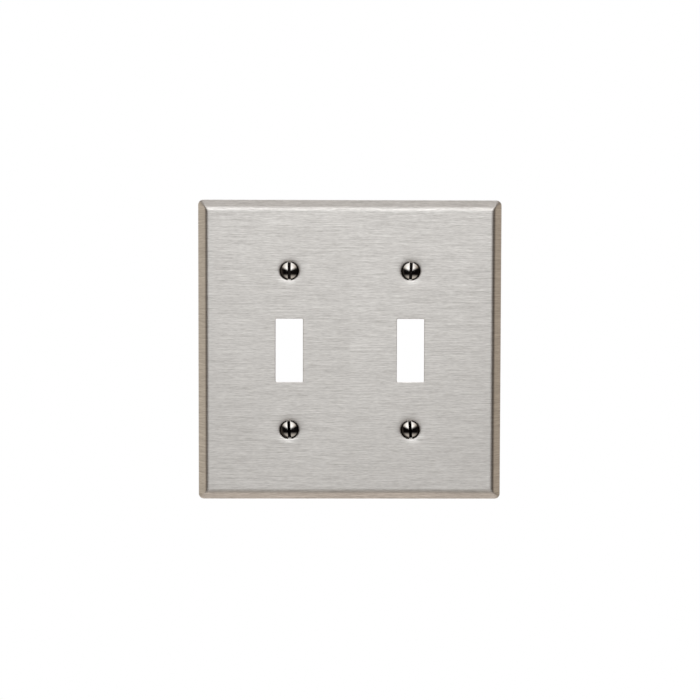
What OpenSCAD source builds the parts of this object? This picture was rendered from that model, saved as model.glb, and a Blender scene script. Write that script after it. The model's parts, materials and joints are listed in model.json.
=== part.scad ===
// Two-gang wall plate for toggle switches: one pressed sheet of stainless steel with a bevelled
// rim, and the four slotted oval-head screws that hold it to the switches behind it.
//
// The plate hangs upright. +X is to the right, +Z is up and the face looks along -Y.
// The origin is in the plane of the wall, behind the middle of the plate.
// Each piece is drawn flat on the wall plane, with its depth along +Z, and then stood up.

/* [Plate] */
// Width of the plate over its rim
plate_w = 115.6; // [95:0.1:150]
// Height of the plate over its rim
plate_h = 114.3; // [95:0.1:150]
// Depth of the plate, from the wall to the front of the face
plate_depth = 4.8; // [4:0.1:7]
// Thickness of the sheet
sheet_t = 0.8; // [0.5:0.05:1.1]
// How far the bevel runs in from the rim before it would meet the face in a sharp edge
bevel_run = 3.2; // [2.5:0.1:6]
// Height of the upright edge at the foot of the bevel
edge_land = 0.4; // [0.2:0.05:0.8]
// Outside radius of the bend between the bevel and the face
bend_r = 2.6; // [1.4:0.1:3]
// Radius of the plate's four corners at the rim
corner_r = 2.0; // [1.3:0.1:3]

/* [Toggle openings] */
// Distance between the centre lines of the two switches
gang_pitch = 46.04; // [40:0.01:56]
// Width of each opening
opening_w = 10.4; // [8:0.1:14]
// Height of each opening
opening_h = 24.1; // [18:0.1:30]
// Corner radius of each opening
opening_r = 0.4; // [0.2:0.05:1]

/* [Screw holes] */
// Distance between the upper and the lower screw of one switch
screw_pitch = 60.33; // [50:0.01:74]
// Outside radius of the rounded lip where the face turns down into a screw's seat
lip_r = 1.2; // [1.15:0.05:2.4]

/* [Screws] */
// Diameter of the head at its edge
head_d = 7.1; // [6.2:0.1:8]
// Angle of the cone under the head
head_angle = 82; // [78:1:92]
// How far the edge of the head lies below the face
head_sink = 0.4; // [0:0.05:0.9]
// Height of the upright edge between the cone and the dome
head_edge_h = 0.15; // [0.1:0.01:0.3]
// Height of the dome above that edge
dome_h = 1.1; // [0.7:0.05:1.6]
// Width of the screwdriver slot
slot_w = 1.2; // [0.8:0.05:1.4]
// Depth of the slot, from the top of the dome
slot_depth = 1.7; // [1:0.05:2]
// Outside diameter of the thread
thread_d = 3.5; // [2.9:0.05:4.2]
// Depth of the thread, which the plain neck above it is cut down by as well
thread_depth = 0.4; // [0.25:0.05:0.5]
// Length of the screw, from the edge of the head to the tip
screw_length = 12.7; // [9.5:0.1:25.4]
// Height and width of the chamfer at the tip
tip_chamfer = 0.5; // [0.3:0.05:0.7]
// How far each slot is turned clockwise from upright: upper left, upper right, lower left, lower right
slot_turns = [0, 3, -3.5, -3.5];

/* [Clearances] */
// Gap all round between the cone of a head and its seat
seat_gap = 0.05; // [0.03:0.01:0.15]
// Gap all round between the thread and the hole that it passes through
hole_gap = 0.25; // [0.15:0.05:0.4]
// Distance from the back of the seat, or from the foot of the head's cone, to the start of the thread
thread_gap = 0.3; // [0.2:0.05:0.6]

/* [Hidden] */

// Corner and bend arcs take one point for each of these angles, and round solids are true ones.
arc_step = 6;
$fn = 96;
// How far a cutting shape runs past the surface that it cuts
over = 1;

// Slope of the bevel and of a seat, measured from the face
bevel_slope = atan2(plate_depth - edge_land, bevel_run);
seat_slope = 90 - head_angle / 2;
seat_spread = tan(head_angle / 2);

// A seat would meet the face in a sharp circle of this radius if its lip weren't rounded.
head_r = head_d / 2;
hole_r = thread_d / 2 + hole_gap;
seat_r = head_r + seat_gap + head_sink * seat_spread;
// Radius at which the lip's bend starts, and depths of the seat's foot and back below the face
lip_centre_r = seat_r + lip_r * tan(seat_slope / 2);
seat_foot = (seat_r - hole_r) / seat_spread;
seat_back = seat_foot + sheet_t * sin(head_angle / 2);

// Sizes of the screw, with its levels measured from the edge of the head
neck_r = thread_d / 2 - thread_depth;
neck_top = (head_r - neck_r) / seat_spread;
thread_top = max(neck_top, seat_back - head_sink) + thread_gap;
dome_r = (head_r * head_r + dome_h * dome_h) / (2 * dome_h);
dome_top = head_edge_h + dome_h;

// Points of an arc about a centre, from one angle to another
function arc(centre, r, from, to) =
    let (steps = max(1, ceil(abs(to - from) / arc_step)))
    [for (i = [0:steps]) let (a = from + (to - from) * i / steps) centre + r * [cos(a), sin(a)]];

function mirrored(points) = [for (i = [len(points) - 1:-1:0]) [-points[i].x, points[i].y]];

// Outline of a rectangle with rounded corners, about the origin
function rounded_rectangle(w, h, r) =
    let (x = w / 2 - r, y = h / 2 - r)
    concat(
        arc([x, y], r, 0, 90),
        arc([-x, y], r, 90, 180),
        arc([-x, -y], r, 180, 270),
        arc([x, -y], r, 270, 360));

// The bend of the rim, seen along the plate's edge, on the skin that lies this far inside the outer one
function rim_bend(half, inside) =
    arc(
        [half - bevel_run - bend_r * tan(bevel_slope / 2), plate_depth - bend_r],
        bend_r - inside, 90 - bevel_slope, 90);

// Cross-section of the whole plate as if it were solid
function outer_section(half) =
    let (right = concat([[half, 0], [half, edge_land]], rim_bend(half, 0)))
    concat(right, mirrored(right));

// Cross-section of the hollow behind the sheet, run on past the wall plane
function hollow_section(half) =
    let (bend = rim_bend(half, sheet_t),
        run = (bend[0].y + over) / sin(bevel_slope),
        foot = bend[0] + run * [cos(bevel_slope), -sin(bevel_slope)],
        right = concat([foot], bend))
    concat(right, mirrored(right));

// Distance from the rim to the hollow on the wall plane, and the hollow's own corner radius
rim_width = sheet_t / sin(bevel_slope) - edge_land / tan(bevel_slope);
hollow_corner_r = max(corner_r - rim_width, 0.2);

module stand_up() {
    rotate([90, 0, 0]) children();
}

module at_face() {
    translate([0, 0, plate_depth]) children();
}

module each_opening() {
    for (side = [-1, 1]) translate([side * gang_pitch / 2, 0, 0]) children();
}

module each_hole() {
    for (side = [-1, 1], row = [-1, 1])
        translate([side * gang_pitch / 2, row * screw_pitch / 2, 0]) children();
}

// One section run the length of the plate and one run across it meet in mitred corners.
module mitred(section_x, section_y, length) {
    intersection() {
        rotate([90, 0, 0]) linear_extrude(length, center = true) polygon(section_x);
        rotate([90, 0, 90]) linear_extrude(length, center = true) polygon(section_y);
    }
}

module rounded_prism(w, h, r) {
    translate([0, 0, -over]) linear_extrude(plate_depth + 2 * over) polygon(rounded_rectangle(w, h, r));
}

module solid_plate() {
    intersection() {
        mitred(outer_section(plate_w / 2), outer_section(plate_h / 2), 2 * max(plate_w, plate_h));
        rounded_prism(plate_w, plate_h, corner_r);
    }
}

module hollow() {
    intersection() {
        mitred(hollow_section(plate_w / 2), hollow_section(plate_h / 2), 2 * max(plate_w, plate_h));
        rounded_prism(plate_w - 2 * rim_width, plate_h - 2 * rim_width, hollow_corner_r);
    }
}

// The sheet pressed back around a screw, up to the middle of its thickness
module seat_boss() {
    lip = arc([lip_centre_r, -lip_r], lip_r - sheet_t, 90, 90 + seat_slope);
    back_r = hole_r + sheet_t * cos(head_angle / 2);
    rotate_extrude()
        polygon(concat([[0, -sheet_t / 2], [lip_centre_r, -sheet_t / 2]], lip,
            [[back_r, -seat_back], [0, -seat_back]]));
}

// The rounded lip, the cone and the hole, all open to the front
module seat_cut() {
    lip = arc([lip_centre_r, -lip_r], lip_r, 90, 90 + seat_slope);
    rotate_extrude()
        polygon(concat([[0, over], [lip_centre_r, over]], lip,
            [[hole_r, -seat_foot], [hole_r, -seat_back - over], [0, -seat_back - over]]));
}

module opening_cut() {
    rounded_prism(opening_w, opening_h, opening_r);
}

module faceplate() {
    color([0.77, 0.75, 0.73])
    stand_up()
    difference() {
        union() {
            difference() {
                solid_plate();
                hollow();
            }
            each_hole() at_face() seat_boss();
        }
        each_hole() at_face() seat_cut();
        each_opening() opening_cut();
    }
}

// One screw about its own axis, with the edge of its head at height 0 and its slot turned by an angle
module screw(slot_turn) {
    difference() {
        union() {
            intersection() {
                translate([0, 0, dome_top - dome_r]) sphere(dome_r);
                cylinder(h = dome_top, r = head_r);
            }
            rotate_extrude()
                polygon([[0, 0], [head_r, 0], [neck_r, -neck_top], [neck_r, -thread_top],
                    [thread_d / 2, -thread_top], [thread_d / 2, tip_chamfer - screw_length],
                    [thread_d / 2 - tip_chamfer, -screw_length], [0, -screw_length]]);
        }
        rotate(-slot_turn) translate([0, 0, dome_top - slot_depth + head_r])
            cube([slot_w, 2 * head_d, 2 * head_r], center = true);
    }
}

module placed_screw(side, row, slot_turn) {
    color([0.66, 0.64, 0.61])
    stand_up()
    translate([side * gang_pitch / 2, row * screw_pitch / 2, plate_depth - head_sink])
        screw(slot_turn);
}

module screw_upper_left() {
    placed_screw(-1, 1, slot_turns[0]);
}

module screw_upper_right() {
    placed_screw(1, 1, slot_turns[1]);
}

module screw_lower_left() {
    placed_screw(-1, -1, slot_turns[2]);
}

module screw_lower_right() {
    placed_screw(1, -1, slot_turns[3]);
}

faceplate();
screw_upper_left();
screw_upper_right();
screw_lower_left();
screw_lower_right();
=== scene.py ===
import json
import math

import bmesh
import bpy
from mathutils import Matrix, Vector
from mathutils.geometry import delaunay_2d_cdt


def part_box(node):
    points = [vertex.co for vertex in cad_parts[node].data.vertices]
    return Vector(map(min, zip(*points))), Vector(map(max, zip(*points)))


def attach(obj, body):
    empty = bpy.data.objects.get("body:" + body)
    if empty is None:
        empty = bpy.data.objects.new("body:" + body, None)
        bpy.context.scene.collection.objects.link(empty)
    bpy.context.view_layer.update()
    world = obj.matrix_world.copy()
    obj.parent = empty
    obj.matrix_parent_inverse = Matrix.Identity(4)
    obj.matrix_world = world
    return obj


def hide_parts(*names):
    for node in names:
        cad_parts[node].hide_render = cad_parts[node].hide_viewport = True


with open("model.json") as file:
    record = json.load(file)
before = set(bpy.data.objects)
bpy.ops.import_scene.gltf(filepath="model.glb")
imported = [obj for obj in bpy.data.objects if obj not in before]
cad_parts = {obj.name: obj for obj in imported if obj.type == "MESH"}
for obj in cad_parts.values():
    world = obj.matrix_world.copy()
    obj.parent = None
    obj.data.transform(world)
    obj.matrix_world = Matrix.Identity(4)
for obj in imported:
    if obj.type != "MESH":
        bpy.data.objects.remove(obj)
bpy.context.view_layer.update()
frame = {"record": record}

bl_info = {
    "name": "Two-gang toggle wall plate",
    "version": (1, 0, 0),
    "blender": (4, 5, 0),
    "location": "3D View > Sidebar > Wall Plate",
    "description": "Makes a pressed wall plate with its four screws, and a stage to show them on",
    "category": "Add Mesh",
}

PLATE_NODE = "faceplate"
SCREW_NODES = ["screw_upper_left", "screw_upper_right", "screw_lower_left", "screw_lower_right"]
MM = 0.001
# Points of a full circle
ROUND = 72
# Distances in from the rim, and in from an opening's sides, at which an outline has more points
RIM_HOLDS = (9 * MM, 25 * MM)
OPENING_HOLD = 2.2 * MM
# Half the length of the floor's sides, in metres
FLOOR_REACH = 3
# One turn of the thread, as (share of the turn, lift from root to crest)
THREAD_SHAPE = ((0.0, 0.0), (0.08, 0.0), (0.44, 0.94), (0.48, 1.0), (0.6, 1.0), (0.64, 0.94))
# Rows of brush marks are this far apart in their noise, so that neighbours have nothing in common.
ROW_JUMP = 7.31


def packed_body(node):
    """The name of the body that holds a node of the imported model."""
    for body, nodes in frame["record"]["behaviour"]["bodies"].items():
        if node in nodes:
            return body
    raise RuntimeError("no body holds " + node)


def pattern_size(key):
    """A size of the screw pattern, in metres."""
    for mount in frame["record"]["mounts"]:
        if key in mount["dims"]:
            return mount["dims"][key] * MM
    raise RuntimeError("no mount states " + key)


PLATE_LOW, PLATE_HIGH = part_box(PLATE_NODE)
SCREW_LOW, SCREW_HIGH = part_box(SCREW_NODES[0])


# Settings

def length(name, description, default):
    return bpy.props.FloatProperty(
        name=name, description=description, default=default, min=0.0, precision=5,
        unit="LENGTH", subtype="DISTANCE")


def colour(name, description, default):
    return bpy.props.FloatVectorProperty(
        name=name, description=description, default=default, min=0.0, max=1.0, size=3,
        subtype="COLOR")


def share(name, description, default):
    return bpy.props.FloatProperty(
        name=name, description=description, default=default, min=0.0, max=1.0, subtype="FACTOR")


class PlateSettings(bpy.types.PropertyGroup):
    """Sizes of the pressed plate."""
    width: length("Width", "Width over the rim", PLATE_HIGH[0] - PLATE_LOW[0])
    height: length("Height", "Height over the rim", PLATE_HIGH[2] - PLATE_LOW[2])
    depth: length("Depth", "From the wall to the front of the face", PLATE_HIGH[1] - PLATE_LOW[1])
    sheet: length("Sheet", "Thickness of the sheet", 0.8 * MM)
    bevel_run: length("Bevel Run", "From the rim to where bevel and face would meet", 3.2 * MM)
    edge_land: length("Edge Land", "Height of the upright edge at the foot of the bevel", 0.4 * MM)
    bend_radius: length("Bend Radius", "Outside radius of the bend into the face", 2.6 * MM)
    corner_radius: length("Corner Radius", "Radius of the corners at the rim", 2.0 * MM)
    mitre_radius: length("Mitre Radius", "Radius of the corners at the top of the bevel", 0.5 * MM)
    opening_width: length("Opening Width", "Width of a toggle opening", 10.4 * MM)
    opening_height: length("Opening Height", "Height of a toggle opening", 24.1 * MM)
    opening_corner: length("Opening Corner", "Corner radius of a toggle opening", 0.4 * MM)
    punch_roll: length("Punch Roll", "Radius that punching rolls over an opening's edge", 0.22 * MM)
    lip_radius: length("Lip Radius", "Radius where the face turns down into a screw's seat", 1.2 * MM)
    dimple_reach: length(
        "Dimple Reach", "How far past its lip a pressed seat draws the face down", 2.4 * MM)
    hole_radius: length("Hole Radius", "Radius of a screw hole", 2.0 * MM)
    seat_gap: length("Seat Gap", "Gap round the cone of a head, sideways", 0.05 * MM)


class ScrewSettings(bpy.types.PropertyGroup):
    """Sizes of the four screws."""
    head_radius: length(
        "Head Radius", "Radius at the edge of the head", (SCREW_HIGH[0] - SCREW_LOW[0]) / 2)
    head_half_angle: bpy.props.FloatProperty(
        name="Head Half Angle", description="Half the angle of the cone under the head",
        default=math.radians(41), subtype="ANGLE", unit="ROTATION")
    head_sink: length("Head Sink", "Depth of the head's edge below the face", 0.4 * MM)
    head_edge: length("Head Edge", "Height of the upright edge under the dome", 0.15 * MM)
    slot_width: length("Slot Width", "Width of the screwdriver slot", 1.2 * MM)
    slot_depth: length("Slot Depth", "Depth of the slot below the top of the dome", 1.7 * MM)
    thread_radius: length("Thread Radius", "Outside radius of the thread", 1.75 * MM)
    neck_radius: length("Neck Radius", "Radius of the neck and of the thread's root", 1.35 * MM)
    thread_start: length("Thread Start", "From the head's edge to the thread", 2.83 * MM)
    thread_pitch: length("Thread Pitch", "Rise of one turn of the thread", 0.794 * MM)
    tip_chamfer: length("Tip Chamfer", "Chamfer at the tip", 0.5 * MM)
    slot_turns: bpy.props.FloatVectorProperty(
        name="Slot Turns", size=4, subtype="NONE", unit="ROTATION",
        description="Turn of each slot, clockwise from upright",
        default=[math.radians(a) for a in (0, 3, -3.5, -3.5)])


class FinishSettings(bpy.types.PropertyGroup):
    """Colours and grain of the metals, and the near-black shade painted into the screw heads."""
    plate_colour: colour("Plate Colour", "Colour of the brushed sheet", (0.865, 0.856, 0.846))
    streak_colour: colour("Streak Colour", "Colour of the deeper brush marks", (0.475, 0.464, 0.452))
    screw_colour: colour("Screw Colour", "Colour of the polished screws", (0.57, 0.552, 0.532))
    # Near-black painted shade, put down in a screw's slot and round the rim of its dome, where shade
    # falls
    painted_shade_colour: colour(
        "Painted Shade Colour", "Colour down in a slot and round the rim of a head", (0.015, 0.013, 0.012))
    streak_length: length("Streak Length", "Length that the brush marks are scaled by", 2.9 * MM)
    streak_width: length("Streak Width", "Width that the brush marks are scaled by", 0.26 * MM)
    plate_roughness: share("Plate Roughness", "Mean roughness of the brushed sheet", 0.38)
    plate_grain: share("Grain", "How strongly the brushing stretches a reflection", 0.91)
    screw_roughness: share("Screw Roughness", "Mean roughness of a screw's head", 0.1)


class StageSettings(bpy.types.PropertyGroup):
    """Camera, floor and light."""
    camera_place: bpy.props.FloatVectorProperty(
        name="Camera Place", description="Where the camera stands", size=3,
        subtype="TRANSLATION", unit="LENGTH", default=(-0.0065, -0.55, 0.0245))
    camera_aim: bpy.props.FloatVectorProperty(
        name="Camera Aim", description="What the camera looks at", size=3,
        subtype="TRANSLATION", unit="LENGTH", default=(0.0001, 0.0, 0.0))
    camera_roll: bpy.props.FloatProperty(
        name="Camera Roll", description="Turn of the camera about its own line of sight",
        default=math.radians(0.13), subtype="ANGLE", unit="ROTATION")
    lens: bpy.props.FloatProperty(
        name="Lens", description="Focal length on a full frame", default=74.0, min=20.0,
        subtype="DISTANCE_CAMERA", unit="CAMERA")
    floor_drop: length("Floor Drop", "From the plate's lower edge down to the floor", 0.25)
    floor_colour: colour("Floor Colour", "Colour of the floor and the backdrop", (1.0, 1.0, 1.0))


# Mesh work

class Skin:
    """A mesh made of closed rings of points."""

    def __init__(self):
        self.bm = bmesh.new()

    def ring(self, points):
        return [self.bm.verts.new(p) for p in points]

    def bridge(self, first, second):
        n = len(first)
        for i in range(n):
            j = (i + 1) % n
            self.bm.faces.new((first[i], first[j], second[j], second[i]))

    def loft(self, outlines):
        """Joins outlines in order and returns the first and the last as rings."""
        rings = [self.ring(points) for points in outlines]
        for first, second in zip(rings, rings[1:]):
            self.bridge(first, second)
        return rings[0], rings[-1]

    def fill(self, outer, holes):
        """Fills the flat upright space inside one ring and outside some others."""
        loops = [outer] + holes
        verts, edges = [], []
        for loop in loops:
            start = len(verts)
            verts += loop
            edges += [(start + i, start + (i + 1) % len(loop)) for i in range(len(loop))]
        flat = [Vector((v.co.x, v.co.z)) for v in verts]
        found = delaunay_2d_cdt(flat, edges, [], 1, 1e-8)
        for triangle in found[2]:
            middle = sum((found[0][i] for i in triangle), Vector((0, 0))) / 3
            if any(inside(middle, hole) for hole in holes):
                continue
            self.bm.faces.new([verts[found[3][i][0]] for i in triangle])

    def fan(self, ring, point):
        """Closes a ring with triangles that meet at one point."""
        middle = self.bm.verts.new(point)
        for i, vert in enumerate(ring):
            self.bm.faces.new((ring[(i + 1) % len(ring)], vert, middle))

    def finish(self, name):
        bmesh.ops.recalc_face_normals(self.bm, faces=self.bm.faces)
        mesh = bpy.data.meshes.new(name)
        self.bm.to_mesh(mesh)
        self.bm.free()
        return mesh


def inside(point, loop):
    """True if a point of the X-Z plane is inside a loop of vertices."""
    odd = False
    for a, b in zip(loop, loop[1:] + loop[:1]):
        if (a.co.z > point.y) != (b.co.z > point.y):
            if point.x < a.co.x + (point.y - a.co.z) * (b.co.x - a.co.x) / (b.co.z - a.co.z):
                odd = not odd
    return odd


def shade(mesh, sharp_angle):
    mesh.shade_smooth()
    mesh.set_sharp_from_angle(angle=sharp_angle)


def rectangle(width, height, radius, y, steps, near, insets):
    """Outline of an upright rectangle with rounded corners. Each side has points of its own, near
    the ends of its corner arcs and at some insets, so that a corner's shading doesn't run along it."""
    points = []
    corners = ((1, 1, 0), (-1, 1, 90), (-1, -1, 180), (1, -1, 270))
    for sx, sz, start in corners:
        cx, cz = sx * (width / 2 - radius), sz * (height / 2 - radius)
        before, after = [], []
        for inset in (radius + near, *insets):
            along_x, along_z = sx * (width / 2 - inset), sz * (height / 2 - inset)
            if start in (0, 180):
                before.insert(0, (sx * width / 2, y, along_z))
                after.append((along_x, y, sz * height / 2))
            else:
                before.insert(0, (along_x, y, sz * height / 2))
                after.append((sx * width / 2, y, along_z))
        arc = []
        for i in range(steps + 1):
            a = math.radians(start + 90 * i / steps)
            arc.append((cx + radius * math.cos(a), y, cz + radius * math.sin(a)))
        points += before + arc + after
    return points


def circle(cx, cz, radius, y, steps):
    """Outline of an upright circle."""
    return [
        (cx + radius * math.cos(2 * math.pi * i / steps), y,
         cz + radius * math.sin(2 * math.pi * i / steps))
        for i in range(steps)]


def curve(centre, radius, start, end, steps):
    """Points of an arc in a profile, from one angle to another, in degrees."""
    found = []
    for i in range(steps + 1):
        a = math.radians(start + (end - start) * i / steps)
        found.append((centre[0] + radius * math.cos(a), centre[1] + radius * math.sin(a)))
    return found


def bezier(points, steps):
    """Points of a Bezier curve in a profile, from its control points."""
    order = len(points) - 1
    found = []
    for i in range(steps + 1):
        t = i / steps
        weights = [math.comb(order, k) * t ** k * (1 - t) ** (order - k) for k in range(order + 1)]
        found.append(tuple(sum(w * p[axis] for w, p in zip(weights, points)) for axis in (0, 1)))
    return found


def ramp(value, low, high):
    """0 below low, 1 above high and a smooth climb between them."""
    t = min(1.0, max(0.0, (value - low) / (high - low)))
    return t * t * (3 - 2 * t)


def new_piece(name, mesh, node, material):
    piece = bpy.data.objects.new(name, mesh)
    bpy.context.scene.collection.objects.link(piece)
    piece.data.materials.append(material)
    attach(piece, packed_body(node))
    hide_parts(node)


# The plate

def rim_profile(s):
    """Skin of the rim as (distance in from the rim, height above the wall, corner radius), from
    the flat of the face, over the bevel and under the rim, to the flat behind the face."""
    slope = math.atan2(s.depth - s.edge_land, s.bevel_run)
    degrees = math.degrees(slope)
    reach = s.bevel_run + s.bend_radius * math.tan(slope / 2)
    centre = (reach, s.depth - s.bend_radius)
    outer_bend = curve(centre, s.bend_radius, 90, 90 + degrees, 14)
    inner_bend = curve(centre, s.bend_radius - s.sheet, 90 + degrees, 90, 14)
    down = (-math.cos(slope), -math.sin(slope))
    # Distances past a bend at which the flat metal beside it has points of its own
    close, wide, on_bevel = 0.15 * MM, 0.7 * MM, 0.12 * MM
    # Sizes of the rolled foot of the bevel, of the broken edges under the rim, and of the soft
    # change from a corner radius that shrinks to one that stays
    foot_roll, edge, blend = 0.3 * MM, 0.06 * MM, 0.35 * MM

    def along(point, distance):
        return point[0] + down[0] * distance, point[1] + down[1] * distance

    def corner(inset, least):
        shrunk = s.corner_radius - inset
        return (shrunk + least + math.sqrt((shrunk - least) ** 2 + blend ** 2)) / 2

    foot = (s.edge_land - outer_bend[-1][1]) / down[1]
    outer = [(reach + wide, s.depth), (reach + close, s.depth)] + outer_bend
    outer += [along(outer_bend[-1], on_bevel), along(outer_bend[-1], foot - foot_roll - close)]
    outer += bezier([
        along(outer_bend[-1], foot - foot_roll), (0.0, s.edge_land),
        (0.0, s.edge_land - 0.8 * foot_roll)], 6)
    outer += [(0.0, edge), (0.3 * edge, 0.3 * edge), (edge, 0.0)]
    rim_width = s.sheet / math.sin(slope) - s.edge_land / math.tan(slope)
    inner = [(rim_width - edge, 0.0), (rim_width - 0.3 * edge, 0.2 * edge)]
    rise = -inner_bend[0][1] / down[1]
    inner += [along(inner_bend[0], rise - on_bevel), along(inner_bend[0], on_bevel)]
    back = s.depth - s.sheet
    inner += inner_bend + [(reach + close, back), (reach + wide, back)]
    profile = [(d, h, corner(d, s.mitre_radius)) for d, h in outer]
    profile += [(d, h, corner(d, 0.5 * s.mitre_radius)) for d, h in inner]
    return profile


def seat_profile(s, head):
    """Front and back skins of a screw's seat as (radius, height above the wall), from the flat
    of the face in to the hole, and from the hole out to the flat behind the face."""
    slope = math.pi / 2 - head.head_half_angle
    degrees = math.degrees(slope)
    spread = math.tan(head.head_half_angle)
    seat = head.head_radius + s.seat_gap + head.head_sink * spread
    start = seat + s.lip_radius * math.tan(slope / 2)
    centre = (start, s.depth - s.lip_radius)
    foot = s.depth - (seat - s.hole_radius) / spread
    back = foot - s.sheet * math.sin(head.head_half_angle)
    back_radius = s.hole_radius + s.sheet * math.cos(head.head_half_angle)
    lip_end = curve(centre, s.lip_radius, 90, 90 + degrees, 1)[-1]
    # The dimple's curve leaves the face flat and meets the seat along the line of its cone, with
    # one control point past the lip and the other close to where that line reaches the face.
    past_lip, short = 1.1 * MM, 0.05 * MM
    pull = (lip_end[0] + (s.depth - lip_end[1]) * spread - short, s.depth - short / spread)
    rim = start + s.dimple_reach

    def on_cone(out):
        return s.hole_radius + out, foot + out / spread

    # The edges of the hole are broken by these sizes, with more points close beside them.
    front_edge, back_edge = 0.05 * MM, 0.04 * MM
    front = [(rim + 0.2 * MM, s.depth)]
    front += bezier([(rim, s.depth), (start + past_lip, s.depth), pull, lip_end], 20)
    front += [on_cone(0.16 * MM), on_cone(front_edge), (s.hole_radius, foot - 0.03 * MM)]
    rear = [(s.hole_radius, back + back_edge), (s.hole_radius + back_edge, back)]
    rear += [(back_radius - 0.06 * MM, back), (back_radius + 0.02 * MM, back + 0.06 * MM)]
    rear += curve(centre, s.lip_radius - s.sheet, 90 + degrees, 90, 10)
    rear += [(start + 0.3 * MM, s.depth - s.sheet), (start + 1.2 * MM, s.depth - s.sheet)]
    return front, rear


def opening_profile(s):
    """Skin of a toggle opening as (distance out from its edge, height above the wall)."""
    roll, back = s.punch_roll, s.depth - s.sheet
    # Distances from the opening's edge to the margin of flat metal, and to points close beside it
    margin, close, edge = 0.9 * MM, 0.12 * MM, 0.03 * MM
    profile = [(margin, s.depth), (roll + close, s.depth)]
    profile += curve((roll, s.depth - roll), roll, 90, 180, 6)
    profile += [(0.0, s.depth - roll - 0.05 * MM), (0.0, back + 0.08 * MM), (0.0, back + edge)]
    profile += [(edge, back), (close, back), (margin, back)]
    return profile


def plate_mesh(s, head):
    skin = Skin()
    rim = []
    for inset, height, radius in rim_profile(s):
        rim.append(rectangle(
            s.width - 2 * inset, s.height - 2 * inset, radius, -height, 12, 0.3 * MM,
            [hold - inset for hold in RIM_HOLDS]))
    face, behind = skin.loft(rim)
    fronts, backs = [], []
    gang, rise = pattern_size("spacing_x_mm") / 2, pattern_size("spacing_y_mm") / 2
    for side in (-1, 1):
        outlines = []
        for out, height in opening_profile(s):
            outline = rectangle(
                s.opening_width + 2 * out, s.opening_height + 2 * out, s.opening_corner + out,
                -height, 8, 0.1 * MM, [OPENING_HOLD + out])
            outlines.append([(x + side * gang, y, z) for x, y, z in outline])
        first, last = skin.loft(outlines)
        fronts.append(first)
        backs.append(last)
    front, rear = seat_profile(s, head)
    for side in (-1, 1):
        for row in (-1, 1):
            first, last = skin.loft([
                circle(side * gang, row * rise, radius, -height, ROUND)
                for radius, height in front + rear])
            fronts.append(first)
            backs.append(last)
    skin.fill(face, fronts)
    skin.fill(behind, backs)
    mesh = skin.finish("faceplate_pressed")
    shade(mesh, math.radians(38))
    add_grain_map(mesh, s)
    return mesh


def add_grain_map(mesh, s):
    """A map whose U runs up the plate, across the brush marks, on every face of the sheet."""
    grain = mesh.uv_layers.new(name="grain")
    for loop in mesh.loops:
        x, y, z = mesh.vertices[loop.vertex_index].co
        end = 1 if z > 0 else -1
        grain.uv[loop.index].vector = (
            0.5 + (z + end * (y + s.depth)) / (2 * s.height), 0.5 + x / (2 * s.width))


# The screws

def dome_level(s, dome_height, r):
    """Height of the dome above the head's edge, at a distance from the screw's axis."""
    radius = (s.head_radius ** 2 + dome_height ** 2) / (2 * dome_height)
    return s.head_edge + dome_height - radius + math.sqrt(radius ** 2 - r ** 2)


def head_profile(s, dome_height):
    """(radius, height above the head's edge) from near the top of the dome down to the neck."""
    steps, roll = 22, 0.07 * MM
    profile = []
    for i in range(1, steps + 1):
        r = (s.head_radius - roll) * i / steps
        profile.append((r, dome_level(s, dome_height, r)))
    last = profile[-1][1]
    profile += [(s.head_radius - 0.025 * MM, last - 0.045 * MM), (s.head_radius, last - 0.1 * MM)]
    profile += [(s.head_radius, 0.02 * MM), (s.head_radius - 0.03 * MM, -0.03 * MM)]
    foot = (s.head_radius - s.neck_radius) / math.tan(s.head_half_angle)
    for share_down in (0.1, 0.5, 0.92):
        r = s.head_radius + (s.neck_radius - s.head_radius) * share_down
        profile.append((r, -foot * share_down))
    profile += [(s.neck_radius + 0.03 * MM, -foot - 0.01 * MM), (s.neck_radius, -foot - 0.07 * MM)]
    return profile


def thread_lift(phase):
    """How far the thread stands out at a share of one turn, from 0 at the root to 1 at the crest."""
    for (a, low), (b, high) in zip(THREAD_SHAPE, THREAD_SHAPE[1:] + ((1.0, 0.0),)):
        if a <= phase <= b:
            return low + (high - low) * (phase - a) / (b - a)
    return 0.0


def thread_rows(s, tip):
    """Rings of (radius, height) that follow the thread, from its start to the tip."""
    start, pitch = -s.thread_start, s.thread_pitch
    crest, root = s.thread_radius, s.neck_radius
    run_in = 0.8 * pitch
    rows = []
    for turn in range(math.ceil((start - tip) / pitch) + 2):
        for place, _ in THREAD_SHAPE:
            row = []
            for i in range(ROUND):
                share_round = i / ROUND
                height = start + pitch - pitch * (turn + place + share_round)
                height = max(tip, min(start, height))
                phase = ((start + pitch - height) / pitch - share_round) % 1.0
                fade = min(1.0, (start - height) / run_in)
                radius = root + (crest - root) * thread_lift(phase) * fade
                row.append((min(radius, crest - s.tip_chamfer + (height - tip)), height))
            rows.append(row)
    return rows


def turned_ring(row):
    """Points round the Z axis, from a (radius, height) for each of them."""
    turns = [2 * math.pi * i / ROUND for i in range(ROUND)]
    return [(r * math.cos(a), r * math.sin(a), height) for a, (r, height) in zip(turns, row)]


def turned_mesh(s, dome_height, tip):
    """A screw about its own axis, along Z and with no slot yet."""
    rows = [[place] * ROUND for place in head_profile(s, dome_height)] + thread_rows(s, tip)
    skin = Skin()
    head, end = skin.loft([turned_ring(row) for row in rows])
    skin.fan(head, (0, 0, s.head_edge + dome_height))
    skin.fan(end, (0, 0, tip))
    bmesh.ops.remove_doubles(skin.bm, verts=skin.bm.verts, dist=1e-7)
    bmesh.ops.dissolve_degenerate(skin.bm, edges=skin.bm.edges, dist=1e-7)
    return skin.finish("screw_turned")


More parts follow.
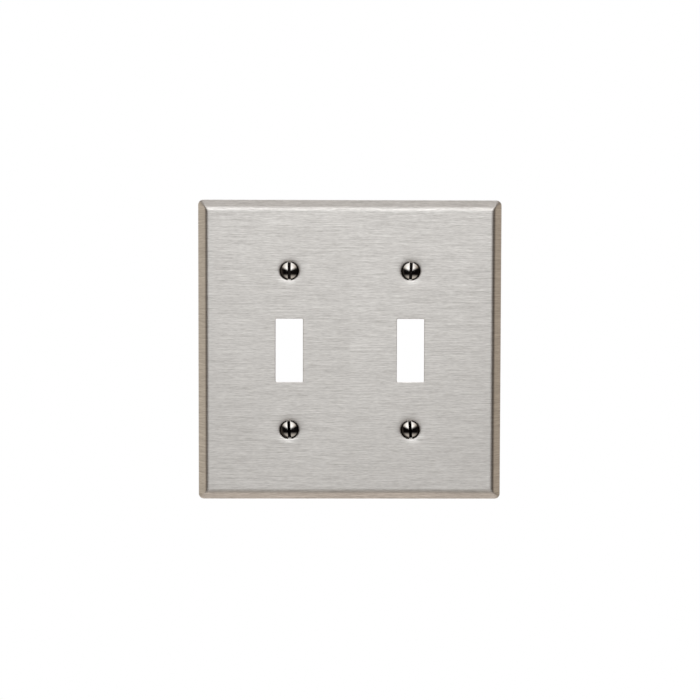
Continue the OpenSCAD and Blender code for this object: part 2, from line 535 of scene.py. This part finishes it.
def slot_mesh(s, floor):
    """The space that the slot takes out of a head, with the foot of its walls rounded."""
    half, foot = s.slot_width / 2, 0.1 * MM
    section = [(half, floor + 4 * MM), (half, floor + 0.9 * MM), (half, floor + 0.4 * MM)]
    section += curve((half - foot, floor + foot), foot, 0, -90, 4)
    section += [(half - foot - 0.05 * MM, floor)]
    section += [(-x, z) for x, z in reversed(section)]
    reach, stations = 1.2 * s.head_radius, 48
    skin = Skin()
    ends = skin.loft([
        [(x, reach * (2 * i / stations - 1), z) for x, z in section] for i in range(stations + 1)])
    for ring in ends:
        skin.bm.faces.new(ring)
    return skin.finish("slot_space")


def cut(mesh, cutter_mesh):
    """The mesh with the space of another taken out of it."""
    scene = bpy.context.scene
    body = bpy.data.objects.new("cut_body", mesh)
    cutter = bpy.data.objects.new("cut_space", cutter_mesh)
    scene.collection.objects.link(body)
    scene.collection.objects.link(cutter)
    boolean = body.modifiers.new("slot", "BOOLEAN")
    boolean.object = cutter
    boolean.operation = "DIFFERENCE"
    boolean.solver = "EXACT"
    edges = body.modifiers.new("edges", "BEVEL")
    edges.width = 0.035 * MM
    edges.segments = 2
    edges.limit_method = "ANGLE"
    edges.angle_limit = math.radians(50)
    edges.use_clamp_overlap = True
    bpy.context.view_layer.update()
    found = bpy.data.meshes.new_from_object(
        body.evaluated_get(bpy.context.evaluated_depsgraph_get()))
    bpy.data.objects.remove(body)
    bpy.data.objects.remove(cutter)
    return found


def paint_head_shade(mesh, s, dome_height):
    """Stores a mask of painted shade, from 0 to 1: it darkens a head's slot and the rolled rim of its
    dome to near black, where shade falls.
    """
    slot_floor = s.head_edge + dome_height - s.slot_depth
    # The painted shade grows over these depths down in the slot, and over these shares of the radius.
    shallow, deep = 0.05 * MM, 0.35 * MM
    rim_start, rim_full = 0.84, 0.91
    mask = mesh.attributes.new(name="painted_shade", type="FLOAT", domain="POINT")
    for vert, held in zip(mesh.vertices, mask.data):
        x, y, z = vert.co
        across = min(math.hypot(x, y), s.head_radius)
        if abs(x) < 0.52 * s.slot_width and z > slot_floor - shallow:
            held.value = ramp(dome_level(s, dome_height, across) - z, shallow, deep)
        elif z > 0:
            held.value = ramp(across / s.head_radius, rim_start, rim_full)


# Finishes

def new_group(name, inputs, outputs):
    """An empty node group, with inputs and outputs given as (name, kind, default)."""
    tree = bpy.data.node_groups.new(name, "ShaderNodeTree")
    for socket_name, kind, default in inputs:
        socket = tree.interface.new_socket(socket_name, in_out="INPUT", socket_type=kind)
        socket.default_value = default
    for socket_name, kind in outputs:
        tree.interface.new_socket(socket_name, in_out="OUTPUT", socket_type=kind)
    return tree, Wiring(tree)


class Wiring:
    """Adds nodes to a tree. A socket's value is a number, a colour or another node's socket."""

    def __init__(self, tree):
        self.tree = tree

    def node(self, kind, values=(), **settings):
        node = self.tree.nodes.new(kind)
        for key, value in settings.items():
            setattr(node, key, value)
        for key, value in dict(values).items():
            self.feed(node.inputs[key], value)
        return node

    def feed(self, socket, value):
        if isinstance(value, bpy.types.NodeSocket):
            self.tree.links.new(value, socket)
        else:
            socket.default_value = value

    def maths(self, operation, *values):
        return self.node(
            "ShaderNodeMath", dict(enumerate(values)), operation=operation).outputs[0]

    def noise(self, vector, scale, detail, roughness=0.5):
        return self.node("ShaderNodeTexNoise", {
            "Vector": vector, "Scale": scale, "Detail": detail, "Roughness": roughness}).outputs[0]

    def spread(self, value, low, high, kind="LINEAR"):
        """0 at low, 1 at high, and held there beyond them."""
        return self.node("ShaderNodeMapRange", {
            "Value": value, "From Min": low, "From Max": high}, interpolation_type=kind).outputs[0]

    def mix(self, factor, first, second):
        """One colour where the factor is 0 and the other where it is 1."""
        node = self.tree.nodes.new("ShaderNodeMix")
        node.data_type = "RGBA"
        self.feed(node.inputs[0], factor)
        self.feed(node.inputs[6], first)
        self.feed(node.inputs[7], second)
        return node.outputs[2]


def brushing_group():
    """Streaks of a belt-brushed sheet, along X, as masks and as a height."""
    tree, w = new_group(
        "Brushing",
        [("Streak Length", "NodeSocketFloat", 0.003), ("Streak Width", "NodeSocketFloat", 0.0003)],
        [("Streaks", "NodeSocketFloat"), ("Fine", "NodeSocketFloat"), ("Height", "NodeSocketFloat")])
    group_in = w.node("NodeGroupInput")
    place = w.node("ShaderNodeSeparateXYZ", {0: w.node("ShaderNodeTexCoord").outputs["Object"]})
    along = w.maths("DIVIDE", place.outputs["X"], group_in.outputs["Streak Length"])
    up = w.maths("DIVIDE", place.outputs["Z"], group_in.outputs["Streak Width"])

    def brush_pass(length_share, width_share, offset):
        """Straight rows of marks that start and stop along the plate, and their grooves."""
        level = w.maths("ADD", w.maths("MULTIPLY", up, 1 / width_share), offset)
        row = w.maths("FLOOR", level)
        in_row = w.maths("FRACT", level)
        spot = w.node("ShaderNodeCombineXYZ", {
            "X": w.maths("MULTIPLY", along, 1 / length_share),
            "Z": w.maths("MULTIPLY", row, ROW_JUMP)})
        mark = w.noise(spot.outputs[0], 1.0, 1.0)
        bowl = w.maths("MULTIPLY", in_row, w.maths("SUBTRACT", 1.0, in_row))
        return mark, w.maths("MULTIPLY", mark, w.maths("MULTIPLY", bowl, 4.0))

    coarse, coarse_groove = brush_pass(6.0, 0.9, 0.37)
    middle, middle_groove = brush_pass(2.5, 0.75, 0.11)
    fine, fine_groove = brush_pass(0.8, 0.55, 0.71)
    streaks = w.maths("ADD", w.maths("MULTIPLY", coarse, 0.5), w.maths("MULTIPLY", middle, 0.5))
    height = w.maths("ADD", coarse_groove, w.maths("ADD", middle_groove, fine_groove))
    group_out = w.node("NodeGroupOutput")
    w.feed(group_out.inputs["Streaks"], w.spread(streaks, 0.34, 0.66))
    w.feed(group_out.inputs["Fine"], w.spread(fine, 0.3, 0.7))
    w.feed(group_out.inputs["Height"], w.maths("MULTIPLY", height, 0.33))
    return tree


def handling_group():
    """Faint smears and small marks from handling, the same way on every metal."""
    tree, w = new_group(
        "Handling", [("Size", "NodeSocketFloat", 0.02)],
        [("Smears", "NodeSocketFloat"), ("Marks", "NodeSocketFloat")])
    group_in = w.node("NodeGroupInput")
    place = w.node("ShaderNodeTexCoord").outputs["Object"]
    scale = w.maths("DIVIDE", 1.0, group_in.outputs["Size"])
    smears = w.noise(place, scale, 3.0, 0.55)
    marks = w.noise(place, w.maths("MULTIPLY", scale, 9.0), 2.0, 0.6)
    group_out = w.node("NodeGroupOutput")
    w.feed(group_out.inputs["Smears"], w.spread(smears, 0.35, 0.68))
    w.feed(group_out.inputs["Marks"], w.spread(marks, 0.62, 0.74))
    return tree


def new_material(name):
    material = bpy.data.materials.new(name)
    material.use_nodes = True
    material.node_tree.nodes.clear()
    return material, Wiring(material.node_tree)


def use_group(w, tree, **values):
    """A node of a group, with its inputs named with underscores for spaces."""
    node = w.tree.nodes.new("ShaderNodeGroup")
    node.node_tree = tree
    for key, value in values.items():
        w.feed(node.inputs[key.replace("_", " ")], value)
    return node


def plate_material(f):
    material, w = new_material("brushed sheet")
    brushing = use_group(
        w, bpy.data.node_groups["Brushing"],
        Streak_Length=f.streak_length, Streak_Width=f.streak_width)
    handling = use_group(w, bpy.data.node_groups["Handling"], Size=30 * MM)
    streaks, fine = brushing.outputs["Streaks"], brushing.outputs["Fine"]
    smears = handling.outputs["Smears"]
    marks = w.maths("ADD", w.maths("MULTIPLY", streaks, 0.55), w.maths("MULTIPLY", fine, 0.45))
    base = w.mix(marks, (*f.plate_colour, 1), (*f.streak_colour, 1))
    rough = w.maths("ADD", w.maths("MULTIPLY", streaks, 0.05), w.maths("MULTIPLY", fine, 0.03))
    rough = w.maths("ADD", rough, w.maths("MULTIPLY", smears, 0.02))
    rough = w.maths("ADD", rough, f.plate_roughness - 0.05)
    bump = w.node("ShaderNodeBump", {
        "Strength": 0.06, "Distance": 0.02 * MM, "Height": brushing.outputs["Height"]})
    tangent = w.node("ShaderNodeTangent", direction_type="UV_MAP", uv_map="grain")
    shader = w.node("ShaderNodeBsdfPrincipled", {
        "Base Color": base, "Metallic": 1.0, "Roughness": rough, "Anisotropic": f.plate_grain,
        "Normal": bump.outputs[0], "Tangent": tangent.outputs[0]})
    w.feed(w.node("ShaderNodeOutputMaterial").inputs["Surface"], shader.outputs[0])
    return material


def screw_material(f):
    material, w = new_material("polished screw steel")
    handling = use_group(w, bpy.data.node_groups["Handling"], Size=4 * MM)
    smears, marks = handling.outputs["Smears"], handling.outputs["Marks"]
    duller = tuple(0.86 * c for c in f.screw_colour)
    base = w.mix(w.maths("MULTIPLY", smears, 0.25), (*f.screw_colour, 1), (*duller, 1))
    # Painted shade: near-black colour laid over the slot and the rim of the dome by the mask, where
    # shade falls
    painted_shade = w.node("ShaderNodeAttribute", attribute_name="painted_shade").outputs["Fac"]
    base = w.mix(painted_shade, base, (*f.painted_shade_colour, 1))
    rough = w.maths("ADD", w.maths("MULTIPLY", smears, 0.05), f.screw_roughness - 0.02)
    rough = w.maths("ADD", rough, w.maths("MULTIPLY", marks, 0.08))
    bump = w.node("ShaderNodeBump", {"Strength": 0.15, "Distance": 0.01 * MM, "Height": marks})
    shader = w.node("ShaderNodeBsdfPrincipled", {
        "Base Color": base, "Metallic": 1.0, "Roughness": rough, "Normal": bump.outputs[0]})
    w.feed(w.node("ShaderNodeOutputMaterial").inputs["Surface"], shader.outputs[0])
    return material


def shared_material(name, make):
    """The material of that name, made if it isn't there yet."""
    if "Brushing" not in bpy.data.node_groups:
        brushing_group()
        handling_group()
    found = bpy.data.materials.get(name)
    return found or make(bpy.context.scene.wall_plate_finish)


# The stage

def studio_world():
    """A studio whose light depends on the direction alone. In front of the plate there is a
    softbox overhead, a black band and a tan surface below, which give way to gloom at the sides.
    Behind it there are tan walls, a pale floor and a dimmer ceiling, and a grey wall straight
    behind that is brighter above. The camera itself sees a plain white backdrop."""
    world = bpy.data.worlds.new("studio")
    world.use_nodes = True
    world.node_tree.nodes.clear()
    w = Wiring(world.node_tree)
    way = w.node("ShaderNodeTexCoord").outputs["Generated"]
    parts = w.node("ShaderNodeSeparateXYZ", {0: way})
    x, y, z = parts.outputs[0], parts.outputs[1], parts.outputs[2]

    def soft(value, low, high):
        """0 on one side and 1 on the other, with a smooth climb between them."""
        return w.spread(value, low, high, kind="SMOOTHSTEP")

    black, tan_below = (0.004, 0.003, 0.003, 1), (0.82, 0.75, 0.675, 1)
    box_low, box_high, box_side = (2.22, 2.2, 2.16, 1), (1.66, 1.63, 1.59, 1), (0.5, 0.42, 0.34, 1)
    gloom_front, gloom_rear = (0.05, 0.042, 0.035, 1), (0.26, 0.215, 0.17, 1)
    wall_left, wall_right = (0.61, 0.53, 0.432, 1), (0.48, 0.4, 0.315, 1)
    rear_floor, rear_ceiling = (1.05, 0.905, 0.78, 1), (0.5, 0.455, 0.42, 1)
    back_low, back_high = (0.42, 0.415, 0.405, 1), (1.25, 1.23, 1.19, 1)

    # The softbox is centred a little to the left. Its lower edge climbs towards its sides, where
    # its light is warmer and weaker.
    above = w.maths("SUBTRACT", z, w.maths("MULTIPLY", w.maths("ABSOLUTE", x), 0.43))
    off_centre = w.maths("ABSOLUTE", w.maths("ADD", x, 0.02))
    front = w.mix(soft(z, -0.34, -0.72), black, tan_below)
    softbox = w.mix(soft(z, 0.25, 0.75), box_low, box_high)
    softbox = w.mix(soft(off_centre, 0.2, 0.84), softbox, box_side)
    front = w.mix(soft(above, -0.12, 0.2), front, softbox)

    # How far behind the plate's plane a direction points, which is less on the right. The gloom is
    # deepest where it starts, and it starts further back overhead.
    past = w.maths("SUBTRACT", y, w.maths("MULTIPLY", x, 0.12))
    far = w.maths("SUBTRACT", past, w.maths("MULTIPLY", w.maths("MAXIMUM", z, 0.0), 0.3))
    gloom = w.mix(soft(past, -0.48, -0.24), gloom_front, gloom_rear)
    front = w.mix(soft(far, -0.68, -0.47), front, gloom)

    walls = w.mix(soft(x, -0.5, 0.5), wall_left, wall_right)
    ends = w.mix(soft(z, -0.4, 0.4), rear_floor, rear_ceiling)
    rear = w.mix(soft(w.maths("ABSOLUTE", z), 0.45, 0.8), walls, ends)
    rear = w.mix(soft(y, 0.5, 0.85), rear, w.mix(soft(z, -0.6, 0.6), back_low, back_high))
    lit = w.mix(soft(past, -0.2, 0.12), front, rear)
    seen = w.node("ShaderNodeLightPath").outputs["Is Camera Ray"]
    room_light = w.node("ShaderNodeBackground", {"Color": lit, "Strength": 1.0})
    backdrop = w.node("ShaderNodeBackground", {"Color": (1, 1, 1, 1), "Strength": 1.0})
    mixed = w.node("ShaderNodeMixShader", {
        0: seen, 1: room_light.outputs[0], 2: backdrop.outputs[0]})
    w.feed(w.node("ShaderNodeOutputWorld").inputs["Surface"], mixed.outputs[0])
    bpy.context.scene.world = world


def floor_material(colour_value):
    """Pale floor, which the camera sees as evenly bright as the backdrop."""
    material, w = new_material("pale_floor")
    seen = w.node("ShaderNodeLightPath").outputs["Is Camera Ray"]
    glow = w.node("ShaderNodeEmission", {"Color": (*colour_value, 1), "Strength": 1.0})
    paint = w.node("ShaderNodeBsdfDiffuse", {"Color": (0.8, 0.79, 0.77, 1)})
    mixed = w.node("ShaderNodeMixShader", {0: seen, 1: paint.outputs[0], 2: glow.outputs[0]})
    w.feed(w.node("ShaderNodeOutputMaterial").inputs["Surface"], mixed.outputs[0])
    return material


# Operators

class WALLPLATE_OT_stage(bpy.types.Operator):
    """Makes the camera, the floor and the studio around the plate"""
    bl_idname = "wallplate.stage"
    bl_label = "Make Stage"

    def execute(self, context):
        s = context.scene.wall_plate_stage
        studio_world()
        mesh = bpy.data.meshes.new("floor")
        far, z = FLOOR_REACH, PLATE_LOW[2] - s.floor_drop
        mesh.from_pydata(
            [(-far, -far, z), (far, -far, z), (far, far, z), (-far, far, z)], [], [(0, 1, 2, 3)])
        floor = bpy.data.objects.new("floor", mesh)
        floor.data.materials.append(floor_material(s.floor_colour))
        floor.visible_glossy = False
        context.scene.collection.objects.link(floor)
        data = bpy.data.cameras.new("camera")
        data.sensor_width = 36.0
        data.lens = s.lens
        data.clip_start = 0.01
        camera = bpy.data.objects.new("camera", data)
        sight = Vector(s.camera_aim) - Vector(s.camera_place)
        turn = sight.to_track_quat("-Z", "Y").to_matrix() @ Matrix.Rotation(s.camera_roll, 3, "Z")
        camera.matrix_world = Matrix.Translation(s.camera_place) @ turn.to_4x4()
        context.scene.collection.objects.link(camera)
        context.scene.camera = camera
        context.scene.view_settings.view_transform = "Standard"
        return {"FINISHED"}


class WALLPLATE_OT_plate(bpy.types.Operator):
    """Makes the pressed plate with its bevelled rim, toggle openings and screw seats"""
    bl_idname = "wallplate.plate"
    bl_label = "Make Plate"

    def execute(self, context):
        scene = context.scene
        mesh = plate_mesh(scene.wall_plate_sizes, scene.wall_plate_screws)
        new_piece("pressed_plate", mesh, PLATE_NODE, shared_material("brushed sheet", plate_material))
        return {"FINISHED"}


class WALLPLATE_OT_screws(bpy.types.Operator):
    """Makes the four slotted oval-head screws"""
    bl_idname = "wallplate.screws"
    bl_label = "Make Screws"

    def execute(self, context):
        s = context.scene.wall_plate_screws
        face = PLATE_LOW[1]
        edge = face + s.head_sink
        dome = edge - SCREW_LOW[1] - s.head_edge
        tip = edge - SCREW_HIGH[1]
        whole = turned_mesh(s, dome, tip)
        slotted = cut(whole, slot_mesh(s, s.head_edge + dome - s.slot_depth))
        # Paints near-black shade into the slot and round the rim of the dome, as a mask on the head
        paint_head_shade(slotted, s, dome)
        for node, turn in zip(SCREW_NODES, s.slot_turns):
            low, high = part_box(node)
            mesh = slotted.copy()
            mesh.name = node + "_slotted"
            stand = Matrix.Translation(((low[0] + high[0]) / 2, edge, (low[2] + high[2]) / 2))
            stand = stand @ Matrix.Rotation(math.radians(90), 4, "X")
            mesh.transform(stand @ Matrix.Rotation(-turn, 4, "Z"))
            shade(mesh, math.radians(33))
            new_piece(
                node + "_turned", mesh, node, shared_material("polished screw steel", screw_material))
        return {"FINISHED"}


class WALLPLATE_PT_panel(bpy.types.Panel):
    """Lists the steps that make the wall plate"""
    bl_idname = "WALLPLATE_PT_panel"
    bl_label = "Wall Plate"
    bl_space_type = "VIEW_3D"
    bl_region_type = "UI"
    bl_category = "Wall Plate"

    def draw(self, context):
        layout = self.layout
        for step in STEPS:
            layout.operator(step.bl_idname)
        for name in SETTINGS:
            box = layout.box()
            group = getattr(context.scene, name)
            for key in group.bl_rna.properties.keys():
                if key not in ("rna_type", "name"):
                    box.prop(group, key)


STEPS = (WALLPLATE_OT_stage, WALLPLATE_OT_plate, WALLPLATE_OT_screws)
SETTINGS = {
    "wall_plate_sizes": PlateSettings,
    "wall_plate_screws": ScrewSettings,
    "wall_plate_finish": FinishSettings,
    "wall_plate_stage": StageSettings,
}
CLASSES = tuple(SETTINGS.values()) + STEPS + (WALLPLATE_PT_panel,)


def register():
    for cls in CLASSES:
        bpy.utils.register_class(cls)
    for name, cls in SETTINGS.items():
        setattr(bpy.types.Scene, name, bpy.props.PointerProperty(type=cls))


def unregister():
    for name in SETTINGS:
        delattr(bpy.types.Scene, name)
    for cls in reversed(CLASSES):
        bpy.utils.unregister_class(cls)


def main():
    register()
    bpy.ops.wallplate.stage()
    bpy.ops.wallplate.plate()
    bpy.ops.wallplate.screws()


if __name__ == "__main__":
    main()
